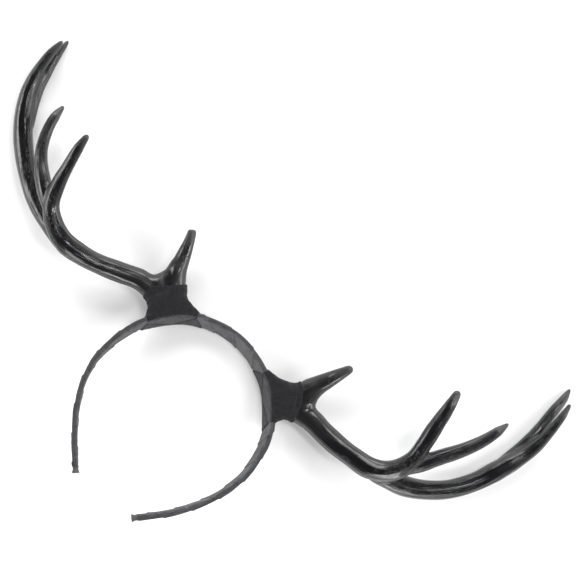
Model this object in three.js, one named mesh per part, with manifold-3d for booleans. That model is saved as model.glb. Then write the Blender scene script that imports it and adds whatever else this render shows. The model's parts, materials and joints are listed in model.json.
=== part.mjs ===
// An antler headband: a hoop wound with cloth tape, and two forked antlers bound to it with cloth.
// It lies as it would on a table, with the ends of the hoop raised. Millimetres and degrees.
// +X runs along the antlers, +Y from the hoop's ends towards its crown, and +Z away from the table.

import * as THREE from "three";
import { mergeVertices } from "three/addons/utils/BufferGeometryUtils.js";
import Module from "manifold-3d";

const wasm = await Module();
wasm.setup();

// Hoop, measured on the middle of its strip.
const HOOP_WIDTH = 126;
const HOOP_HEIGHT = 134.3;
const STRIP_WIDTH = 14;
const STRIP_THICKNESS = 3.6;
const TAPE_THICKNESS = 0.55; // each lap of the tape stands this much above the next
const TAPE_PITCH = 19.5; // from one lap's edge to the next, along the hoop
const TAIL_LENGTH = 4.3; // crimped end of the tape

// Antlers.
const ANTLER_REACH = 176; // from the hoop to the outermost prong
const ANTLER_DEPTH = 40; // spread of the tines, front to back
const BEAM_RADIUS = 6.8;
const BEAM_FLATNESS = 0.94; // front to back, as a share of the width
const FOOT_SWELL = 1.15; // of the antler's foot, as a share of the beam's radius
const ANTLER_LEAN = 12; // forward of the hoop's own plane
const SEAT_DROP = 1.3; // of the antler's foot, towards the strip's back edge
const SEAT_SHARE = 0.26; // where the antlers stand, as a share of the way from crown to end

// Cloth that binds an antler to the hoop.
const WRAP_SPREAD = 42; // along the hoop
const CLOTH_THICKNESS = 2.1;
const LIP_HEIGHT = 0.7; // edge of the last turn of cloth

const CLEARANCE = 0.3; // between neighbouring pieces
const REST_TILT = 12; // of the hoop's plane, when the whole thing lies on a table

const CORNER_SHARE = 0.25; // of the strip's thickness, cut off its corners
const LAP_EDGE = 0.04; // share of a lap over which the tape drops to the next
const TURN_SHARE = 0.5; // of the binding's height, over which it turns from strip to antler
const BINDING_ROUNDNESS = 0.6; // 1 is an ellipse, less is squarer
const CUT_REACH = 28; // of a cutting body, past what it cuts
const MERGE_DISTANCE = 1e-4;

// Fineness of the faceted surfaces.
const CURVE_DIVISIONS = 600;
const BEAM_SIDES = 12;
const TINE_SIDES = 10;
const STEPS_PER_ROW = 2;
const STEPS_PER_LAP = 4;
const WRAP_SIDES = 24;

const radians = THREE.MathUtils.degToRad;
const mix = THREE.MathUtils.lerp;

// Both arms of the hoop, from crown to end. Across is a share of half its width and down one of its
// height. Width is a share of the strip's, and lean is how far the strip's inner face turns
// towards the viewer, on each arm.
const HOOP_ROWS = [
  { across: { left: 0.0, right: 0.0 }, down: 0.0, width: 1.0, lean: { left: 16, right: 16 } },
  { across: { left: 0.405, right: 0.407 }, down: 0.041, width: 1.0, lean: { left: 15, right: 14 } },
  { across: { left: 0.685, right: 0.702 }, down: 0.13, width: 1.0, lean: { left: 12, right: 14 } },
  { across: { left: 0.902, right: 0.922 }, down: 0.278, width: 0.93, lean: { left: 8, right: 15 } },
  { across: { left: 0.996, right: 1.0 }, down: 0.456, width: 0.88, lean: { left: 5, right: 11 } },
  { across: { left: 0.99, right: 0.973 }, down: 0.57, width: 0.86, lean: { left: 1, right: 10 } },
  { across: { left: 0.928, right: 0.907 }, down: 0.675, width: 0.85, lean: { left: 0, right: 8 } },
  { across: { left: 0.777, right: 0.754 }, down: 0.806, width: 0.82, lean: { left: 1, right: 8 } },
  { across: { left: 0.595, right: 0.571 }, down: 0.917, width: 0.76, lean: { left: 1, right: 6 } },
  { across: { left: 0.445, right: 0.407 }, down: 0.995, width: 0.68, lean: { left: 3, right: 6 } },
];

// Crimped end of the tape: along is a share of its length, and the sizes are shares of the strip's.
const TAIL_ROWS = [
  { along: 0.0, width: 0.62, thickness: 0.85 },
  { along: 0.3, width: 0.5, thickness: 0.6 },
  { along: 0.65, width: 0.5, thickness: 0.7 },
  { along: 1.0, width: 0.66, thickness: 1.3 },
];

// Branches of each antler, section by section from root to tip, from the seat on the hoop. Out and
// up are shares of the antler's reach, fore one of its depth, and thick one of the beam's radius.
const LEFT_BRANCHES = {
  beam: [
    { out: 0.0, up: 0.0, fore: 0.0, thick: 1.09 },
    { out: 0.062, up: 0.03, fore: 0.03, thick: 1.09 },
    { out: 0.119, up: 0.04, fore: 0.06, thick: 1.08 },
    { out: 0.184, up: 0.039, fore: 0.09, thick: 1.06 },
    { out: 0.258, up: 0.014, fore: 0.15, thick: 1.04 },
    { out: 0.332, up: -0.01, fore: 0.23, thick: 1.01 },
    { out: 0.405, up: -0.026, fore: 0.3, thick: 1.03 },
    { out: 0.48, up: -0.029, fore: 0.38, thick: 1.1 },
    { out: 0.556, up: -0.003, fore: 0.45, thick: 0.95 },
    { out: 0.612, up: 0.047, fore: 0.53, thick: 0.85 },
    { out: 0.64, up: 0.13, fore: 0.64, thick: 0.75 },
    { out: 0.65, up: 0.206, fore: 0.76, thick: 0.63 },
    { out: 0.659, up: 0.281, fore: 0.87, thick: 0.54 },
    { out: 0.66, up: 0.338, fore: 0.94, thick: 0.28 },
  ],
  brow_tine: [
    { out: 0.022, up: 0.015, fore: 0.0, thick: 0.99 },
    { out: 0.048, up: 0.069, fore: 0.03, thick: 1.25 },
    { out: 0.08, up: 0.119, fore: 0.05, thick: 1.08 },
    { out: 0.098, up: 0.155, fore: 0.07, thick: 0.97 },
    { out: 0.107, up: 0.193, fore: 0.08, thick: 0.79 },
    { out: 0.118, up: 0.231, fore: 0.1, thick: 0.69 },
    { out: 0.131, up: 0.271, fore: 0.13, thick: 0.56 },
    { out: 0.147, up: 0.311, fore: 0.15, thick: 0.42 },
  ],
  crotch: [
    { out: 0.07, up: 0.055, fore: 0.04, thick: 1.0 },
    { out: 0.113, up: 0.087, fore: 0.05, thick: 0.82 },
    { out: 0.145, up: 0.113, fore: 0.05, thick: 0.5 },
  ],
  side_tine: [
    { out: 0.616, up: 0.044, fore: 0.51, thick: 0.84 },
    { out: 0.671, up: 0.08, fore: 0.49, thick: 0.84 },
    { out: 0.715, up: 0.116, fore: 0.45, thick: 0.78 },
    { out: 0.753, up: 0.153, fore: 0.4, thick: 0.68 },
    { out: 0.786, up: 0.196, fore: 0.35, thick: 0.64 },
    { out: 0.815, up: 0.263, fore: 0.28, thick: 0.57 },
    { out: 0.826, up: 0.318, fore: 0.23, thick: 0.51 },
    { out: 0.827, up: 0.365, fore: 0.19, thick: 0.18 },
  ],
  rear_beam: [
    { out: 0.5, up: -0.035, fore: 0.3, thick: 0.98 },
    { out: 0.601, up: -0.013, fore: 0.15, thick: 0.87 },
    { out: 0.693, up: 0.024, fore: 0.04, thick: 0.93 },
    { out: 0.794, up: 0.094, fore: -0.02, thick: 0.99 },
    { out: 0.872, up: 0.167, fore: -0.05, thick: 1.0 },
    { out: 0.927, up: 0.236, fore: -0.05, thick: 0.95 },
    { out: 0.975, up: 0.322, fore: -0.02, thick: 0.75 },
    { out: 0.996, up: 0.42, fore: 0.04, thick: 0.58 },
    { out: 0.997, up: 0.498, fore: 0.1, thick: 0.46 },
    { out: 0.99, up: 0.555, fore: 0.14, thick: 0.21 },
  ],
  rear_prong: [
    { out: 0.898, up: 0.22, fore: -0.08, thick: 0.68 },
    { out: 0.933, up: 0.302, fore: -0.12, thick: 0.54 },
    { out: 0.954, up: 0.359, fore: -0.13, thick: 0.52 },
    { out: 0.97, up: 0.417, fore: -0.145, thick: 0.52 },
    { out: 0.984, up: 0.5, fore: -0.165, thick: 0.45 },
    { out: 0.988, up: 0.573, fore: -0.18, thick: 0.2 },
  ],
};

const RIGHT_BRANCHES = {
  beam: [
    { out: 0.0, up: 0.0, fore: 0.0, thick: 1.09 },
    { out: 0.06, up: 0.026, fore: 0.03, thick: 1.09 },
    { out: 0.117, up: 0.035, fore: 0.05, thick: 1.15 },
    { out: 0.171, up: 0.041, fore: 0.08, thick: 1.13 },
    { out: 0.24, up: 0.033, fore: 0.13, thick: 1.09 },
    { out: 0.316, up: 0.03, fore: 0.19, thick: 1.08 },
    { out: 0.391, up: 0.034, fore: 0.26, thick: 1.09 },
    { out: 0.457, up: 0.042, fore: 0.32, thick: 1.11 },
    { out: 0.505, up: 0.063, fore: 0.38, thick: 1.06 },
    { out: 0.544, up: 0.106, fore: 0.45, thick: 1.03 },
    { out: 0.563, up: 0.176, fore: 0.52, thick: 0.84 },
    { out: 0.559, up: 0.246, fore: 0.56, thick: 0.8 },
    { out: 0.551, up: 0.31, fore: 0.6, thick: 0.82 },
    { out: 0.544, up: 0.378, fore: 0.63, thick: 0.73 },
    { out: 0.538, up: 0.425, fore: 0.66, thick: 0.6 },
    { out: 0.531, up: 0.475, fore: 0.68, thick: 0.36 },
  ],
  brow_tine: [
    { out: 0.035, up: 0.018, fore: 0.0, thick: 0.99 },
    { out: 0.078, up: 0.068, fore: 0.04, thick: 1.1 },
    { out: 0.103, up: 0.125, fore: 0.08, thick: 1.14 },
    { out: 0.118, up: 0.167, fore: 0.13, thick: 0.9 },
    { out: 0.136, up: 0.21, fore: 0.2, thick: 0.75 },
    { out: 0.15, up: 0.246, fore: 0.28, thick: 0.62 },
    { out: 0.168, up: 0.29, fore: 0.36, thick: 0.4 },
  ],
  crotch: [
    { out: 0.075, up: 0.048, fore: 0.04, thick: 1.0 },
    { out: 0.118, up: 0.083, fore: 0.06, thick: 0.8 },
    { out: 0.146, up: 0.101, fore: 0.07, thick: 0.46 },
  ],
  side_tine: [
    { out: 0.557, up: 0.125, fore: 0.45, thick: 0.84 },
    { out: 0.601, up: 0.18, fore: 0.45, thick: 0.84 },
    { out: 0.63, up: 0.227, fore: 0.47, thick: 0.78 },
    { out: 0.667, up: 0.285, fore: 0.48, thick: 0.76 },
    { out: 0.702, up: 0.347, fore: 0.51, thick: 0.69 },
    { out: 0.729, up: 0.407, fore: 0.53, thick: 0.6 },
    { out: 0.745, up: 0.458, fore: 0.55, thick: 0.5 },
    { out: 0.755, up: 0.5, fore: 0.57, thick: 0.15 },
  ],
  rear_beam: [
    { out: 0.486, up: 0.042, fore: 0.28, thick: 0.98 },
    { out: 0.536, up: 0.049, fore: 0.18, thick: 1.0 },
    { out: 0.603, up: 0.066, fore: 0.1, thick: 1.06 },
    { out: 0.68, up: 0.103, fore: 0.03, thick: 1.0 },
    { out: 0.758, up: 0.168, fore: -0.01, thick: 0.98 },
    { out: 0.818, up: 0.251, fore: -0.04, thick: 0.95 },
    { out: 0.852, up: 0.324, fore: -0.05, thick: 1.0 },
    { out: 0.878, up: 0.395, fore: -0.03, thick: 0.92 },
    { out: 0.9, up: 0.456, fore: -0.01, thick: 0.73 },
    { out: 0.913, up: 0.515, fore: 0.03, thick: 0.62 },
    { out: 0.916, up: 0.592, fore: 0.08, thick: 0.54 },
    { out: 0.913, up: 0.663, fore: 0.13, thick: 0.42 },
    { out: 0.907, up: 0.708, fore: 0.15, thick: 0.2 },
  ],
  rear_prong: [
    { out: 0.847, up: 0.338, fore: -0.08, thick: 0.6 },
    { out: 0.868, up: 0.431, fore: -0.12, thick: 0.59 },
    { out: 0.881, up: 0.508, fore: -0.12, thick: 0.6 },
    { out: 0.885, up: 0.586, fore: -0.145, thick: 0.55 },
    { out: 0.886, up: 0.664, fore: -0.16, thick: 0.54 },
    { out: 0.886, up: 0.722, fore: -0.17, thick: 0.42 },
    { out: 0.882, up: 0.757, fore: -0.18, thick: 0.16 },
  ],
};

// Outline of each binding, from the hoop to its lip: its edge towards the crown and its edge towards
// the hoop's end, from the antler's seat, as shares of the binding's spread along the hoop. Fore is a
// share of the antler's depth.
const LEFT_WRAP = [
  { crownOut: -0.35, crownUp: 0.34, endOut: 0.36, endUp: -0.37, fore: 0.0, lip: 0 },
  { crownOut: -0.14, crownUp: 0.37, endOut: 0.33, endUp: -0.273, fore: 0.0, lip: 0 },
  { crownOut: -0.01, crownUp: 0.41, endOut: 0.37, endUp: -0.18, fore: 0.02, lip: 0 },
  { crownOut: 0.075, crownUp: 0.465, endOut: 0.42, endUp: -0.11, fore: 0.04, lip: 0 },
  { crownOut: 0.14, crownUp: 0.52, endOut: 0.485, endUp: -0.06, fore: 0.05, lip: 0 },
  { crownOut: 0.15, crownUp: 0.53, endOut: 0.492, endUp: -0.05, fore: 0.05, lip: 1 },
  { crownOut: 0.165, crownUp: 0.55, endOut: 0.505, endUp: -0.032, fore: 0.05, lip: 1 },
];

const RIGHT_WRAP = [
  { crownOut: -0.35, crownUp: 0.34, endOut: 0.335, endUp: -0.35, fore: 0.0, lip: 0 },
  { crownOut: -0.125, crownUp: 0.352, endOut: 0.315, endUp: -0.272, fore: 0.0, lip: 0 },
  { crownOut: 0.012, crownUp: 0.385, endOut: 0.36, endUp: -0.18, fore: 0.02, lip: 0 },
  { crownOut: 0.1, crownUp: 0.435, endOut: 0.412, endUp: -0.115, fore: 0.04, lip: 0 },
  { crownOut: 0.165, crownUp: 0.49, endOut: 0.485, endUp: -0.065, fore: 0.05, lip: 0 },
  { crownOut: 0.178, crownUp: 0.498, endOut: 0.492, endUp: -0.055, fore: 0.05, lip: 1 },
  { crownOut: 0.195, crownUp: 0.517, endOut: 0.505, endUp: -0.035, fore: 0.05, lip: 1 },
];

const PLASTIC = { color: 0x1b1b1d, roughness: 0.22, metalness: 0 };
const TAPE = { color: 0x4a4a4d, roughness: 0.85, metalness: 0 };
const CLOTH = { color: 0x2a2a2c, roughness: 0.9, metalness: 0 };

// A geometry from flat lists of coordinates and corner numbers, with its faces turned out.
function facingOut(positions, corners) {
  let volume = 0;
  const [a, b, c] = [new THREE.Vector3(), new THREE.Vector3(), new THREE.Vector3()];
  for (let i = 0; i < corners.length; i += 3) {
    a.fromArray(positions, corners[i] * 3);
    b.fromArray(positions, corners[i + 1] * 3);
    c.fromArray(positions, corners[i + 2] * 3);
    volume += a.dot(b.cross(c));
  }
  const geometry = new THREE.BufferGeometry();
  geometry.setAttribute("position", new THREE.Float32BufferAttribute(positions, 3));
  geometry.setIndex(volume < 0 ? corners.slice().reverse() : corners);
  return geometry;
}

// A closed body through rings that hold the same number of points, with flat ends.
function loft(rings) {
  const sides = rings[0].length;
  const corners = [];
  for (let ring = 0; ring + 1 < rings.length; ring++) {
    for (let side = 0; side < sides; side++) {
      const here = ring * sides + side;
      const next = ring * sides + ((side + 1) % sides);
      corners.push(here, next, next + sides, here, next + sides, here + sides);
    }
  }
  const last = (rings.length - 1) * sides;
  for (let side = 1; side + 1 < sides; side++) {
    corners.push(0, side + 1, side);
    corners.push(last, last + side, last + side + 1);
  }
  const positions = rings.flat().flatMap((point) => point.toArray());
  return facingOut(positions, corners);
}

function toSolid(geometry) {
  const merged = mergeVertices(geometry, MERGE_DISTANCE);
  const mesh = new wasm.Mesh({
    numProp: 3,
    vertProperties: merged.attributes.position.array,
    triVerts: new Uint32Array(merged.index.array),
  });
  return new wasm.Manifold(mesh);
}

function toGeometry(solid) {
  const { vertProperties, triVerts } = solid.getMesh();
  const geometry = new THREE.BufferGeometry();
  geometry.setAttribute("position", new THREE.BufferAttribute(vertProperties, 3));
  geometry.setIndex(new THREE.BufferAttribute(triVerts, 1));
  return geometry;
}

// Value of a column of a table, part of the way between two of its rows.
function column(rows, place, read) {
  const row = Math.min(Math.floor(place), rows.length - 2);
  return mix(read(rows[row]), read(rows[row + 1]), place - row);
}

// The hoop as a curve from its left end over the crown to its right end, in its own plane.
function hoopCurve() {
  const arm = (name, side) => HOOP_ROWS.map((row) => {
    const across = side * row.across[name] * (HOOP_WIDTH / 2);
    return new THREE.Vector3(across, -row.down * HOOP_HEIGHT, 0);
  });
  const points = [...arm("left", -1).slice(1).reverse(), ...arm("right", 1)];
  const curve = new THREE.CatmullRomCurve3(points, false, "centripetal");
  curve.arcLengthDivisions = CURVE_DIVISIONS;
  return curve;
}

const hoop = hoopCurve();
const HOOP_LENGTH = hoop.getLength();

// The strip at a share of the hoop's length: its middle, its directions and its width.
function stripAt(share) {
  const t = hoop.getUtoTmapping(share);
  const point = hoop.getPoint(t);
  const along = hoop.getTangent(t);
  const outward = new THREE.Vector3(-along.y, along.x, 0);
  const place = Math.abs(t - 0.5) * 2 * (HOOP_ROWS.length - 1);
  const arm = t < 0.5 ? "left" : "right";
  const lean = radians(column(HOOP_ROWS, place, (row) => row.lean[arm]));
  const front = new THREE.Vector3(0, 0, 1);
  const acrossStrip = front.clone().multiplyScalar(Math.cos(lean));
  acrossStrip.addScaledVector(outward, Math.sin(lean));
  const awayFromHead = outward.clone().multiplyScalar(Math.cos(lean));
  awayFromHead.addScaledVector(front, -Math.sin(lean));
  const width = STRIP_WIDTH * column(HOOP_ROWS, place, (row) => row.width);
  return { point, along, acrossStrip, awayFromHead, width };
}

// A section of the strip with its corners cut off. Inner and outer are the heights of its faces
// over the strip's middle.
function stripSection(strip, width, inner, outer) {
  const corner = Math.min(STRIP_THICKNESS, outer - inner) * CORNER_SHARE;
  const half = width / 2;
  const outline = [
    [-half + corner, inner],
    [half - corner, inner],
    [half, inner + corner],
    [half, outer - corner],
    [half - corner, outer],
    [-half + corner, outer],
    [-half, outer - corner],
    [-half, inner + corner],
  ];
  return outline.map(([across, height]) => {
    const point = strip.point.clone().addScaledVector(strip.acrossStrip, across);
    return point.addScaledVector(strip.awayFromHead, height);
  });
}

// The wound strip: each lap of tape rises along the hoop and drops at its edge.
function bandSolid() {
  const laps = Math.round(HOOP_LENGTH / TAPE_PITCH);
  const rings = [];
  for (let lap = 0; lap < laps; lap++) {
    for (let step = 0; step <= STEPS_PER_LAP; step++) {
      const passed = Math.min(step / STEPS_PER_LAP, 1 - LAP_EDGE);
      const last = lap === laps - 1 && step === STEPS_PER_LAP;
      const strip = stripAt(last ? 1 : (lap + passed) / laps);
      const rise = TAPE_THICKNESS * passed;
      const outer = STRIP_THICKNESS / 2 + rise;
      rings.push(stripSection(strip, strip.width + rise, -STRIP_THICKNESS / 2, outer));
    }
  }
  return toSolid(loft(rings));
}

// A stretch of hoop that other pieces are cut by, wider than the strip by a margin on each side.
function hoopCutter(from, to, margin, inner, outer) {
  const steps = Math.ceil(((to - from) * HOOP_LENGTH / TAPE_PITCH) * STEPS_PER_LAP);
  const rings = [];
  for (let step = 0; step <= steps; step++) {
    const strip = stripAt(mix(from, to, step / steps));
    rings.push(stripSection(strip, strip.width + 2 * margin, inner, outer));
  }
  return toSolid(loft(rings));
}

// The tape's crimped end, past one end of the hoop.
function tailSolid(end) {
  const strip = stripAt(end);
  const beyond = strip.along.clone().multiplyScalar(end === 0 ? -1 : 1);
  const rings = TAIL_ROWS.map((row) => {
    const here = { ...strip, point: strip.point.clone() };
    here.point.addScaledVector(beyond, CLEARANCE + row.along * TAIL_LENGTH);
    const half = (STRIP_THICKNESS * row.thickness) / 2;
    return stripSection(here, STRIP_WIDTH * row.width, -half, half);
  });
  return toSolid(loft(rings));
}

// Where an antler stands: on the middle of the strip, with its own axes leaning forward.
function seatMatrix(side) {
  const strip = stripAt(0.5 + (side * SEAT_SHARE) / 2);
  const seat = strip.point.addScaledVector(strip.acrossStrip, -SEAT_DROP);
  const matrix = new THREE.Matrix4().makeRotationX(radians(ANTLER_LEAN));
  return matrix.setPosition(seat);
}

// One branch as a body with round sections that follow its rows, thickened by a margin.
function branchSolid(rows, side, sides, margin) {
  const points = rows.map((row) => {
    const out = side * row.out * ANTLER_REACH;
    return new THREE.Vector3(out, row.up * ANTLER_REACH, row.fore * ANTLER_DEPTH);
  });
  const curve = new THREE.CatmullRomCurve3(points, false, "centripetal");
  const steps = (rows.length - 1) * STEPS_PER_ROW;
  const rings = [];
  for (let step = 0; step <= steps; step++) {
    const t = step / steps;
    const along = curve.getTangent(t);
    const wide = new THREE.Vector3(0, 0, 1).cross(along).normalize();
    const deep = along.clone().cross(wide);
    const radius = BEAM_RADIUS * column(rows, t * (rows.length - 1), (row) => row.thick) + margin;
    const ring = [];
    for (let corner = 0; corner < sides; corner++) {
      const angle = (2 * Math.PI * corner) / sides;
      const point = curve.getPoint(t).addScaledVector(wide, radius * Math.cos(angle));
      ring.push(point.addScaledVector(deep, radius * BEAM_FLATNESS * Math.sin(angle)));
    }
    rings.push(ring);
  }
  return toSolid(loft(rings));
}

// All branches of an antler in one body, in the hoop's frame.
function branchesSolid(side, margin) {
  const branches = side < 0 ? LEFT_BRANCHES : RIGHT_BRANCHES;
  const solids = Object.entries(branches).map(([name, rows]) => {
    const sides = name === "beam" || name === "rear_beam" ? BEAM_SIDES : TINE_SIDES;
    return branchSolid(rows, side, sides, margin);
  });
  const joined = solids.reduce((whole, branch) => whole.add(branch));
  return joined.transform(seatMatrix(side).elements);
}

// The stretch of hoop under a binding, with some to spare.
function seatStretch(side) {
  const middle = 0.5 + (side * SEAT_SHARE) / 2;
  const reach = WRAP_SPREAD / HOOP_LENGTH;
  return [middle - reach, middle + reach];
}

function antlerSolid(side) {
  const [from, to] = seatStretch(side);
  const outer = STRIP_THICKNESS / 2 + TAPE_THICKNESS + CLEARANCE;
  const under = hoopCutter(from, to, CUT_REACH, outer - CUT_REACH, outer);
  return branchesSolid(side, 0).subtract(under);
}

// The binding: a cloth cone from the strip's faces up to a lip round the foot of the antler.
function wrapSolid(side) {
  const seat = seatMatrix(side);
  const strip = stripAt(0.5 + (side * SEAT_SHARE) / 2);
  const upright = new THREE.Vector3(0, 0, 1).transformDirection(seat);
  const below = strip.awayFromHead.clone().multiplyScalar(-CUT_REACH / 2);
  const rowPoint = (out, up, fore) => {
    const flat = new THREE.Vector3(side * out, up, 0).multiplyScalar(WRAP_SPREAD);
    return flat.setZ(fore * ANTLER_DEPTH).applyMatrix4(seat);
  };
  const rows = side < 0 ? LEFT_WRAP : RIGHT_WRAP;
  const rings = rows.map((row, index) => {
    const share = index / (rows.length - 1);
    const crown = rowPoint(row.crownOut, row.crownUp, row.fore);
    const end = rowPoint(row.endOut, row.endUp, row.fore);
    const middle = crown.clone().lerp(end, 0.5);
    const wide = crown.clone().sub(middle);
    wide.setLength(wide.length() + row.lip * LIP_HEIGHT);
    const turned = Math.min(1, share / TURN_SHARE);
    const deep = strip.acrossStrip.clone().lerp(upright, turned).normalize();
    const body = mix(strip.width / 2, BEAM_RADIUS * FOOT_SWELL, turned);
    deep.multiplyScalar(body + CLEARANCE + CLOTH_THICKNESS + row.lip * LIP_HEIGHT);
    const ring = [];
    for (let corner = 0; corner < WRAP_SIDES; corner++) {
      const angle = (2 * Math.PI * corner) / WRAP_SIDES;
      const across = Math.sign(Math.sin(angle)) * Math.abs(Math.sin(angle)) ** BINDING_ROUNDNESS;
      ring.push(middle.clone().addScaledVector(wide, Math.cos(angle)).addScaledVector(deep, across));
    }
    return ring;
  });
  rings.unshift(rings[0].map((point) => point.clone().add(below)));
  const [from, to] = seatStretch(side);
  const inner = -STRIP_THICKNESS / 2;
  const outer = STRIP_THICKNESS / 2 + TAPE_THICKNESS + CLEARANCE;
  const past = CLEARANCE + TAPE_THICKNESS / 2;
  const strapped = hoopCutter(from, to, past, inner - CUT_REACH, outer);
  const headSide = hoopCutter(from, to, CUT_REACH, inner - CUT_REACH, inner);
  return toSolid(loft(rings))
    .subtract(strapped)
    .subtract(headSide)
    .subtract(branchesSolid(side, CLEARANCE));
}

function piece(name, solid, look) {
  const mesh = new THREE.Mesh(toGeometry(solid), new THREE.MeshStandardMaterial(look));
  mesh.name = name;
  return mesh;
}

const headband = new THREE.Group();
headband.rotation.x = -radians(REST_TILT);
headband.add(piece("band", bandSolid(), TAPE));
for (const [name, side, end] of [["left", -1, 0], ["right", 1, 1]]) {
  headband.add(piece(`${name}_antler`, antlerSolid(side), PLASTIC));
  headband.add(piece(`${name}_wrap`, wrapSolid(side), CLOTH));
  headband.add(piece(`${name}_tail`, tailSolid(end), TAPE));
}

// The origin is under the middle of the whole thing, on the table.
const root = new THREE.Group();
root.add(headband);
const extent = new THREE.Box3().setFromObject(root, true);
const middle = extent.getCenter(new THREE.Vector3());
headband.position.set(-middle.x, -middle.y, -extent.min.z);

export default root;
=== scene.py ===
"""An antler headband: a hoop wound with cloth tape, and two forked antlers bound to it."""

import json
import math
from collections import namedtuple

import bpy
import numpy as np
from bpy.props import FloatProperty, FloatVectorProperty, PointerProperty
from mathutils import Matrix, Vector
from mathutils.kdtree import KDTree

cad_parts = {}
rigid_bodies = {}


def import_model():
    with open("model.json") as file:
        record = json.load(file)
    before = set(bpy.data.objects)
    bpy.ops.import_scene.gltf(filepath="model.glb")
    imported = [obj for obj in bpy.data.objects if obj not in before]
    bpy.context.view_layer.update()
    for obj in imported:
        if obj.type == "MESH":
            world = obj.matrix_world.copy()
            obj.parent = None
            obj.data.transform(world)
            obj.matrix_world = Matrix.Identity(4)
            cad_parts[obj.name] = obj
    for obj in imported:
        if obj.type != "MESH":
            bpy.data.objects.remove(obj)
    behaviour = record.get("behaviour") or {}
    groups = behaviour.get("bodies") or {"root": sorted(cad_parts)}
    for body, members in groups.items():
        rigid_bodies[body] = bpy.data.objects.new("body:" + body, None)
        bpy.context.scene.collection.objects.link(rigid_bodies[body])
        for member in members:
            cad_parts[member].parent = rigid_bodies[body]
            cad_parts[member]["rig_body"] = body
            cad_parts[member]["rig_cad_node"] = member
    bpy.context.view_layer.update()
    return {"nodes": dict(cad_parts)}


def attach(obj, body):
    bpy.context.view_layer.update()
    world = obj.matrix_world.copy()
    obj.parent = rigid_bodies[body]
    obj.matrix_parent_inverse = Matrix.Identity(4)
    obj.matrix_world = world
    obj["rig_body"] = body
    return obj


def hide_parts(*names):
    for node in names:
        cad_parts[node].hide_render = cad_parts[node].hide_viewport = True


bl_info = {
    "name": "Antler Headband",
    "version": (1, 0, 0),
    "blender": (4, 5, 0),
    "location": "3D View > Sidebar > Headband",
    "description": "Dresses an antler headband: tape, antlers, bindings and stage",
    "category": "Object",
}

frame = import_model()

HoopRow = namedtuple("HoopRow", "left right down width left_lean right_lean")
Row = namedtuple("Row", "out up fore thick")
TailRow = namedtuple("TailRow", "along width thickness")
LightRow = namedtuple("LightRow", "name place width depth power")

# Both arms of the hoop, from crown to end. Left and right are shares of half its width, down is one
# of its height, width is one of the strip's, and the leans are in degrees.
HOOP_ROWS = [
    HoopRow(0.0, 0.0, 0.0, 1.0, 16, 16),
    HoopRow(0.405, 0.407, 0.041, 1.0, 15, 14),
    HoopRow(0.685, 0.702, 0.13, 1.0, 12, 14),
    HoopRow(0.902, 0.922, 0.278, 0.93, 8, 15),
    HoopRow(0.996, 1.0, 0.456, 0.88, 5, 11),
    HoopRow(0.99, 0.973, 0.57, 0.86, 1, 10),
    HoopRow(0.928, 0.907, 0.675, 0.85, 0, 8),
    HoopRow(0.777, 0.754, 0.806, 0.82, 1, 8),
    HoopRow(0.595, 0.571, 0.917, 0.76, 1, 6),
    HoopRow(0.445, 0.407, 0.995, 0.68, 3, 6),
]

# Branches of each antler, section by section from root to tip, from the seat on the hoop. Out and
# up are shares of the antler's reach, fore is one of its depth, and thick is one of the beam's
# radius.
LEFT_BRANCHES = {
    "beam": [
        Row(0.0, 0.0, 0.0, 1.09),
        Row(0.062, 0.03, 0.03, 1.09),
        Row(0.119, 0.04, 0.06, 1.08),
        Row(0.184, 0.039, 0.09, 1.06),
        Row(0.258, 0.014, 0.15, 1.04),
        Row(0.332, -0.01, 0.23, 1.01),
        Row(0.405, -0.026, 0.3, 1.03),
        Row(0.48, -0.029, 0.38, 1.1),
        Row(0.556, -0.003, 0.45, 0.95),
        Row(0.612, 0.047, 0.53, 0.85),
        Row(0.64, 0.13, 0.64, 0.75),
        Row(0.65, 0.206, 0.76, 0.63),
        Row(0.659, 0.281, 0.87, 0.54),
        Row(0.66, 0.338, 0.94, 0.28),
    ],
    "brow_tine": [
        Row(0.022, 0.015, 0.0, 0.99),
        Row(0.048, 0.069, 0.03, 1.25),
        Row(0.08, 0.119, 0.05, 1.08),
        Row(0.098, 0.155, 0.07, 0.97),
        Row(0.107, 0.193, 0.08, 0.79),
        Row(0.118, 0.231, 0.1, 0.69),
        Row(0.131, 0.271, 0.13, 0.56),
        Row(0.147, 0.311, 0.15, 0.42),
    ],
    "crotch": [
        Row(0.07, 0.055, 0.04, 1.0),
        Row(0.113, 0.087, 0.05, 0.82),
        Row(0.145, 0.113, 0.05, 0.5),
    ],
    "side_tine": [
        Row(0.616, 0.044, 0.51, 0.84),
        Row(0.671, 0.08, 0.49, 0.84),
        Row(0.715, 0.116, 0.45, 0.78),
        Row(0.753, 0.153, 0.4, 0.68),
        Row(0.786, 0.196, 0.35, 0.64),
        Row(0.815, 0.263, 0.28, 0.57),
        Row(0.826, 0.318, 0.23, 0.51),
        Row(0.827, 0.365, 0.19, 0.18),
    ],
    "rear_beam": [
        Row(0.5, -0.035, 0.3, 0.98),
        Row(0.601, -0.013, 0.15, 0.87),
        Row(0.693, 0.024, 0.04, 0.93),
        Row(0.794, 0.094, -0.02, 0.99),
        Row(0.872, 0.167, -0.05, 1.0),
        Row(0.927, 0.236, -0.05, 0.95),
        Row(0.975, 0.322, -0.02, 0.75),
        Row(0.996, 0.42, 0.04, 0.58),
        Row(0.997, 0.498, 0.1, 0.46),
        Row(0.99, 0.555, 0.14, 0.21),
    ],
    "rear_prong": [
        Row(0.898, 0.22, -0.08, 0.68),
        Row(0.933, 0.302, -0.12, 0.54),
        Row(0.954, 0.359, -0.13, 0.52),
        Row(0.97, 0.417, -0.145, 0.52),
        Row(0.984, 0.5, -0.165, 0.45),
        Row(0.988, 0.573, -0.18, 0.2),
    ],
}
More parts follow.
